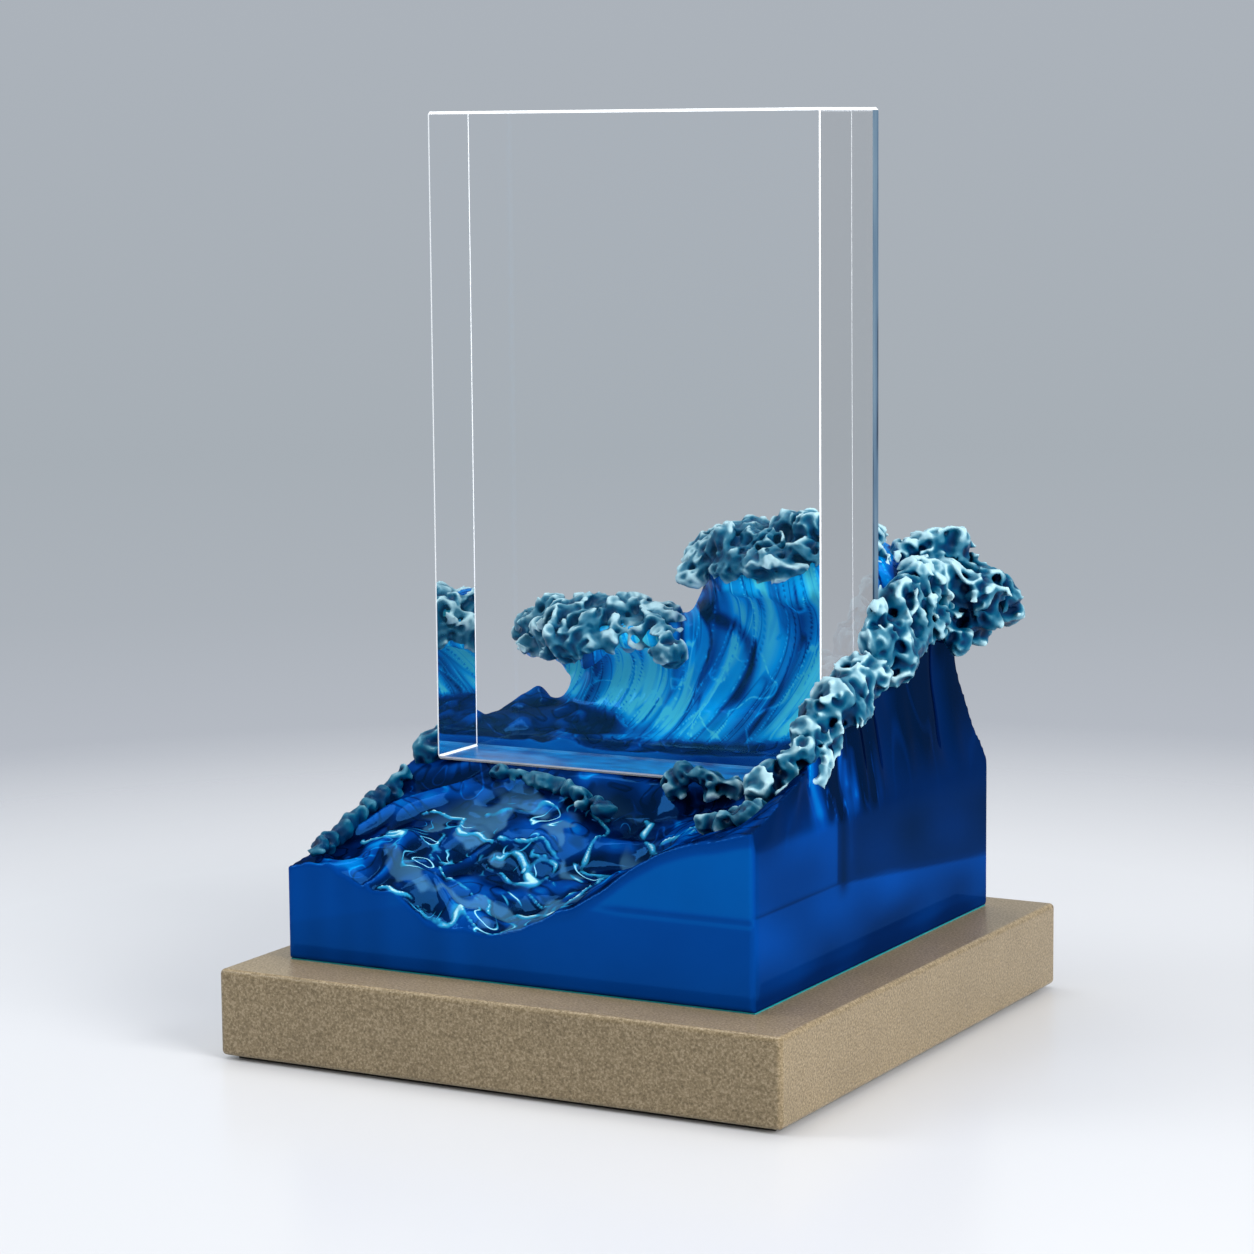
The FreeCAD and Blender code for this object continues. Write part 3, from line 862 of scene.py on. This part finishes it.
def new_material(name):
    material = bpy.data.materials.new(name)
    material.use_nodes = True
    return material, material.node_tree, material.node_tree.nodes["Principled BSDF"]


def plug(tree, socket, value):
    """Links a socket to another one or sets its value."""
    if isinstance(value, bpy.types.NodeSocket):
        tree.links.new(value, socket)
    else:
        socket.default_value = (*value, 1) if socket.type == "RGBA" else value


def feed(tree, node, **inputs):
    """Links or sets sockets by name, with _ for a space."""
    for name, value in inputs.items():
        plug(tree, node.inputs[name.replace("_", " ")], value)


def add_node(tree, kind, **inputs):
    node = tree.nodes.new("ShaderNode" + kind)
    feed(tree, node, **inputs)
    return node


def attribute(tree, name, output="Fac"):
    node = add_node(tree, "Attribute")
    node.attribute_name = name
    return node.outputs[output]


def colour_ramp(tree, source, stops):
    """A colour ramp fed by a value; each stop is a place and a colour."""
    node = add_node(tree, "ValToRGB", Fac=source)
    elements = node.color_ramp.elements
    while len(elements) < len(stops):
        elements.new(0.5)
    for element, (spot, colour) in zip(elements, stops):
        element.position = spot
        element.color = (*colour, 1)
    return node.outputs["Color"]


def clouded(tree, source, dark, light):
    """A noise as a soft change from one colour to another."""
    return colour_ramp(tree, source, ((0.3, dark), (0.7, light)))


def value_range(tree, source, low, high, start=0, end=1):
    """Carries low to high over to start to end."""
    node = add_node(tree, "MapRange", Value=source, From_Min=low, From_Max=high, To_Min=start, To_Max=end)
    return node.outputs["Result"]


def grain(tree, scale, detail=2.0, roughness=0.5, stretch=None):
    """Noise fixed to the piece."""
    where = add_node(tree, "TexCoord").outputs["Object"]
    if stretch:
        where = add_node(tree, "Mapping", Vector=where, Scale=stretch).outputs["Vector"]
    node = add_node(tree, "TexNoise", Vector=where, Scale=scale, Detail=detail, Roughness=roughness)
    return node.outputs["Fac"]


def mix_colours(tree, kind, share, first, second):
    node = add_node(tree, "Mix")
    node.data_type = "RGBA"
    node.blend_type = kind
    for index, value in ((0, share), (6, first), (7, second)):
        plug(tree, node.inputs[index], value)
    return node.outputs[2]


def calculate(tree, operation, first, second):
    node = add_node(tree, "Math")
    node.operation = operation
    for socket, value in zip(node.inputs, (first, second)):
        plug(tree, socket, value)
    return node.outputs["Value"]


def blend_shaders(tree, share, first, second, output="Material Output"):
    """Shows a share of the second shader over the first."""
    node = add_node(tree, "MixShader", Fac=share)
    plug(tree, node.inputs[1], first.outputs[0])
    plug(tree, node.inputs[2], second.outputs[0])
    feed(tree, tree.nodes[output], Surface=node.outputs["Shader"])


def flow_noise(tree, shift):
    """Noise that follows the water; each shift gives another pattern."""
    moved = add_node(tree, "VectorMath")
    plug(tree, moved.inputs[0], attribute(tree, "flow", "Vector"))
    plug(tree, moved.inputs[1], (0, 0, shift))
    node = add_node(tree, "TexNoise", Vector=moved.outputs["Vector"], Scale=1.0, Detail=1.0, Roughness=0.4)
    return node.outputs["Fac"]


def contours(tree, shift, levels, width):
    """One along thin lines of equal height of a noise, nothing between them."""
    height = calculate(tree, "MULTIPLY", flow_noise(tree, shift), levels)
    return value_range(tree, calculate(tree, "PINGPONG", height, 0.5), 0, width, 1, 0)


def blue_glass_material():
    material, tree, shader = new_material("blue_cast_glass")
    # Strokes that swirl on the water and run down the waves: painted highlights and painted shade
    broken = value_range(tree, flow_noise(tree, 30), 0.5, 0.6)
    painted_highlights = calculate(tree, "MULTIPLY", contours(tree, 0, 7, 0.13), broken)
    strokes = calculate(tree, "SUBTRACT", calculate(tree, "MULTIPLY", painted_highlights, 0.22),
                        calculate(tree, "MULTIPLY", contours(tree, 60, 5, 0.16), 0.2))
    strokes = calculate(tree, "MULTIPLY", strokes, attribute(tree, "streaked"))
    tone = calculate(tree, "ADD", attribute(tree, "tone"), strokes)
    blue = colour_ramp(tree, tone, (
        (0.0, (0.0, 0.003, 0.02)), (0.2, (0.0, 0.012, 0.085)), (0.4, (0.0, 0.05, 0.30)),
        (0.6, (0.0, 0.21, 0.66)), (0.8, (0.0, 0.45, 1.0)), (1.0, (0.08, 0.78, 1.0)),
    ))
    shade = clouded(tree, grain(tree, 45, 3), (0.86, 0.86, 0.88), WHITE)
    colour = mix_colours(tree, "MULTIPLY", 1.0, blue, shade)
    # Foam on the water: thin veils, then lines with a turquoise fringe; painted glints join the lines
    veil = calculate(tree, "MULTIPLY", attribute(tree, "veil"), 0.6)
    colour = mix_colours(tree, "MIX", veil, colour, (0.06, 0.2, 0.36))
    painted_glints = calculate(tree, "MULTIPLY", painted_highlights, attribute(tree, "painted_glints"))
    lace = calculate(tree, "MAXIMUM", attribute(tree, "lace"), painted_glints)
    for start, end, tint in ((0.15, 0.5, (0.02, 0.30, 0.55)), (0.6, 0.9, (0.5, 0.88, 0.97))):
        share = colour_ramp(tree, lace, ((start, BLACK), (end, WHITE)))
        colour = mix_colours(tree, "MIX", share, colour, tint)
    # The waves get a faint painted glow in place of light that doesn't reach them, and let more light through
    # than the cast walls
    painted_glow = colour_ramp(tree, attribute(tree, "raised"), ((0.2, BLACK), (1.0, WHITE)))
    clearness = value_range(tree, attribute(tree, "raised"), 0, 1, 0.04, 0.2)
    feed(tree, shader, Base_Color=colour, Roughness=0.05, IOR=1.5, Transmission_Weight=clearness,
         Specular_IOR_Level=0.0, Specular_Tint=(0.05, 0.5, 1.0),
         Emission_Color=mix_colours(tree, "MULTIPLY", 1.0, colour, painted_glow), Emission_Strength=0.16)
    blend_shaders(tree, 0.06, shader, add_node(tree, "BsdfGlossy", Color=(0.03, 0.26, 0.8), Roughness=0.06))
    volume = add_node(tree, "VolumeAbsorption", Color=(0.0, 0.55, 0.85), Density=60.0)
    feed(tree, tree.nodes["Material Output"], Volume=volume.outputs["Volume"])
    return material


def foam_material():
    material, tree, shader = new_material("pale_frit_glass")
    # From painted shade in the pits to painted highlights on the lumps
    colour = colour_ramp(tree, attribute(tree, "bulge_light_and_tone"), (
        (0.06, (0.0, 0.01, 0.045)), (0.28, (0.0, 0.03, 0.10)), (0.5, (0.0, 0.08, 0.165)),
        (0.72, (0.05, 0.20, 0.30)), (0.92, (0.33, 0.56, 0.65)), (1.0, (0.45, 0.69, 0.77)),
    ))
    shade = clouded(tree, grain(tree, 900), (0.85, 0.87, 0.88), WHITE)
    feed(tree, shader, Base_Color=mix_colours(tree, "MULTIPLY", 1.0, colour, shade), Roughness=0.4, IOR=1.5,
         Specular_IOR_Level=0.22, Specular_Tint=(0.5, 0.85, 1.0))
    return material


def clear_glass_material():
    material, tree, shader = new_material("clear_crystal")
    feed(tree, shader, Base_Color=(0.99, 0.995, 1.0), Roughness=0.0, IOR=1.5, Transmission_Weight=1.0,
         Specular_Tint=(0.03, 0.35, 0.65))
    light_passes = add_node(tree, "BsdfTransparent", Color=(0.92, 0.95, 0.97))
    blend_shaders(tree, add_node(tree, "LightPath").outputs["Is Shadow Ray"], shader, light_passes)
    return material


def ground_edge_material():
    material, tree, shader = new_material("ground_edge_painted_glow")
    # Frosted bevels, with a painted glow where they catch light
    feed(tree, shader, Base_Color=clouded(tree, grain(tree, 2000), (0.85, 0.88, 0.9), (0.95, 0.97, 1)),
         Roughness=0.3, IOR=1.5, Emission_Color=(0.95, 0.98, 1.0), Emission_Strength=0.2)
    return material


def ground_strip_material():
    material, tree, shader = new_material("ground_strip")
    colour = colour_ramp(tree, grain(tree, 1.0, stretch=(420, 420, 26)), (
        (0.35, (0.012, 0.03, 0.06)), (0.45, (0.06, 0.115, 0.185)), (0.65, (0.12, 0.19, 0.26)),
    ))
    feed(tree, shader, Base_Color=colour, Roughness=0.35, IOR=1.5, Specular_IOR_Level=0.2)
    return material


def bonded_foot_material():
    material, tree, shader = new_material("bonded_foot_painted_glow")
    # The bonded underside is painted a glowing blue: painted light in place of the lit blue glass seen
    # through it
    blue = clouded(tree, grain(tree, 150), (0.0, 0.03, 0.13), (0.0, 0.11, 0.3))
    feed(tree, shader, Base_Color=blue, Roughness=0.3, Emission_Color=blue, Emission_Strength=0.8)
    return material


def stone_material():
    material, tree, shader = new_material("beige_stone")
    speckle = grain(tree, 1900, 3, 0.65)
    colour = colour_ramp(tree, speckle, (
        (0.32, (0.125, 0.091, 0.046)), (0.5, (0.235, 0.178, 0.1)), (0.68, (0.37, 0.295, 0.19)),
    ))
    shade = clouded(tree, grain(tree, 60, 3), (0.88, 0.88, 0.88), WHITE)
    colour = mix_colours(tree, "MULTIPLY", 1.0, colour, shade)
    # The top is painted paler than the sides, a painted sheen for the reflection on the polished top
    facing = add_node(tree, "SeparateXYZ", Vector=add_node(tree, "NewGeometry").outputs["Normal"])
    painted_top_sheen = colour_ramp(tree, facing.outputs["Z"], ((0.5, WHITE), (0.9, (1.35, 1.35, 1.35))))
    colour = mix_colours(tree, "MULTIPLY", 1.0, colour, painted_top_sheen)
    bump = add_node(tree, "Bump", Strength=0.15, Distance=0.0002, Height=speckle)
    feed(tree, shader, Base_Color=colour, Roughness=0.3, IOR=1.5, Specular_IOR_Level=0.4,
         Normal=bump.outputs["Normal"])
    return material


def felt_material():
    material, tree, shader = new_material("dark_felt")
    fibre = clouded(tree, grain(tree, 1500, 4, 0.7), (0.012, 0.011, 0.01), (0.05, 0.045, 0.04))
    feed(tree, shader, Base_Color=fibre, Roughness=0.95)
    return material


def film_material(name, colour, weight):
    material, tree, shader = new_material(name)
    tint = colour_ramp(tree, grain(tree, 120), ((0.2, tuple(0.8 * part for part in colour)), (0.8, colour)))
    feed(tree, shader, Base_Color=tint, Roughness=0.2, IOR=1.5, Transmission_Weight=weight)
    return material


def dress(piece, material):
    piece.data.materials.clear()
    piece.data.materials.append(material)


dress(wave_glass, blue_glass_material())
foam_finish = foam_material()
for foam_piece in foam_pieces:
    dress(foam_piece, foam_finish)
for make_finish in (clear_glass_material, ground_edge_material, bonded_foot_material, ground_strip_material):
    clear_plate.data.materials.append(make_finish())
dress(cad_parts["stone_base"], stone_material())
dress(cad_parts["felt_pad"], felt_material())
dress(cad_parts["base_adhesive"], film_material("turquoise_bond", (0.0, 0.42, 0.5), 0.3))
dress(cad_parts["slab_adhesive"], film_material("clear_bond", (0.9, 0.95, 1.0), 0.6))


# Camera

view_azimuth = math.radians(28.82)
view_elevation = math.radians(7.78)
view_roll = math.radians(-0.514)
view_distance = 0.8538
# Focal length over the picture's width, both in pixels
view_focus = 3678 / 1254
sensor_width = 36.0
aim_height = 0.0939
aim_slide = -0.00523


def make_camera():
    lens = bpy.data.cameras.new("camera")
    lens.sensor_width = sensor_width
    lens.lens = view_focus * sensor_width
    camera = add_object("camera", lens)
    way = Matrix.Rotation(view_azimuth, 4, "Z") @ Matrix.Rotation(math.pi / 2 - view_elevation, 4, "X")
    way = Matrix.Translation((0, 0, aim_height)) @ way @ Matrix.Rotation(view_roll, 4, "Z")
    camera.matrix_world = way @ Matrix.Translation((aim_slide, 0, view_distance))
    bpy.context.scene.camera = camera


make_camera()


# Floor, backdrop and light

# The backdrop's colours, from below the horizon up
backdrop_span = (-0.22, 0.03)
backdrop_stops = (
    (0.0, (0.80, 0.81, 0.85)), (0.05, (0.78, 0.79, 0.83)), (0.09, (0.67, 0.68, 0.72)),
    (0.13, (0.58, 0.60, 0.65)), (0.21, (0.47, 0.50, 0.555)), (0.36, (0.41, 0.445, 0.49)),
    (0.53, (0.385, 0.425, 0.465)), (1.0, (0.41, 0.447, 0.493)),
)
surround_colour = (0.92, 0.96, 1.0)
surround_strength = 0.41
floor_colour = (0.765, 0.775, 0.805)
floor_radius = 0.45
floor_solid = 0.22
floor_corners = 96
lamp_aim = (0, 0, 0.07)
# Place, size, power, colour, and whether shiny surfaces mirror it
lamps = {
    "softbox_right": ((1.25, -0.40, 0.51), (0.8, 0.95), 23.0, (1.0, 0.985, 0.96), False),
    "softbox_top": ((-0.1, 0.1, 0.9), (0.6, 0.6), 3.8, (1, 1, 1), True),
    "softbox_left": ((-0.7, -0.35, 0.5), (0.35, 0.6), 2.8, (0.95, 0.98, 1.0), True),
}


def seen_directly(tree):
    """One for rays that show a surface: from the camera, a mirror or through glass."""
    path = add_node(tree, "LightPath")
    total = path.outputs["Is Camera Ray"]
    for kind in ("Is Glossy Ray", "Is Transmission Ray"):
        total = calculate(tree, "MAXIMUM", total, path.outputs[kind])
    return total


def make_world():
    world = bpy.data.worlds.new("studio")
    world.use_nodes = True
    tree = world.node_tree
    surround = tree.nodes["Background"]
    feed(tree, surround, Color=surround_colour, Strength=surround_strength)
    way = add_node(tree, "SeparateXYZ", Vector=add_node(tree, "TexCoord").outputs["Generated"])
    colour = colour_ramp(tree, value_range(tree, way.outputs["Z"], *backdrop_span), backdrop_stops)
    backdrop = add_node(tree, "Background", Color=colour)
    blend_shaders(tree, seen_directly(tree), surround, backdrop, "World Output")
    bpy.context.scene.world = world


def make_floor():
    angles = np.linspace(0, 2 * math.pi, floor_corners, endpoint=False)
    ring = [(floor_radius * math.cos(a), floor_radius * math.sin(a), 0) for a in angles]
    mesh = bpy.data.meshes.new("floor")
    mesh.from_pydata(ring, [], [list(range(floor_corners))])
    floor = add_object("floor", mesh)
    material, tree, shader = new_material("pale_floor")
    feed(tree, shader, Base_Color=floor_colour, Roughness=0.25, IOR=1.35)
    length = add_node(tree, "VectorMath")
    length.operation = "LENGTH"
    plug(tree, length.inputs[0], add_node(tree, "TexCoord").outputs["Object"])
    fade = value_range(tree, length.outputs["Value"], floor_solid, floor_radius)
    fade = colour_ramp(tree, fade, ((0, BLACK), (1, WHITE)))
    blend_shaders(tree, fade, shader, add_node(tree, "BsdfTransparent"))
    dress(floor, material)


def make_lamp(name, spot, size, power, colour, mirrored):
    lamp = bpy.data.lights.new(name, "AREA")
    lamp.shape = "RECTANGLE"
    lamp.size, lamp.size_y = size
    lamp.energy = power
    lamp.color = colour
    toward = np.array(lamp_aim) - np.array(spot)
    toward = toward / np.linalg.norm(toward)
    side = np.cross(toward, (0, 0, 1.0))
    side = side / np.linalg.norm(side)
    up = np.cross(side, toward)
    holder = add_object(name, lamp)
    holder.matrix_world = Matrix([[side[a], up[a], -toward[a], spot[a]] for a in range(3)] + [[0, 0, 0, 1]])
    holder.visible_camera = False
    holder.visible_transmission = False
    holder.visible_glossy = mirrored


make_world()
make_floor()
for lamp_name, setting in lamps.items():
    make_lamp(lamp_name, *setting)

bpy.context.scene.view_settings.view_transform = "Standard"
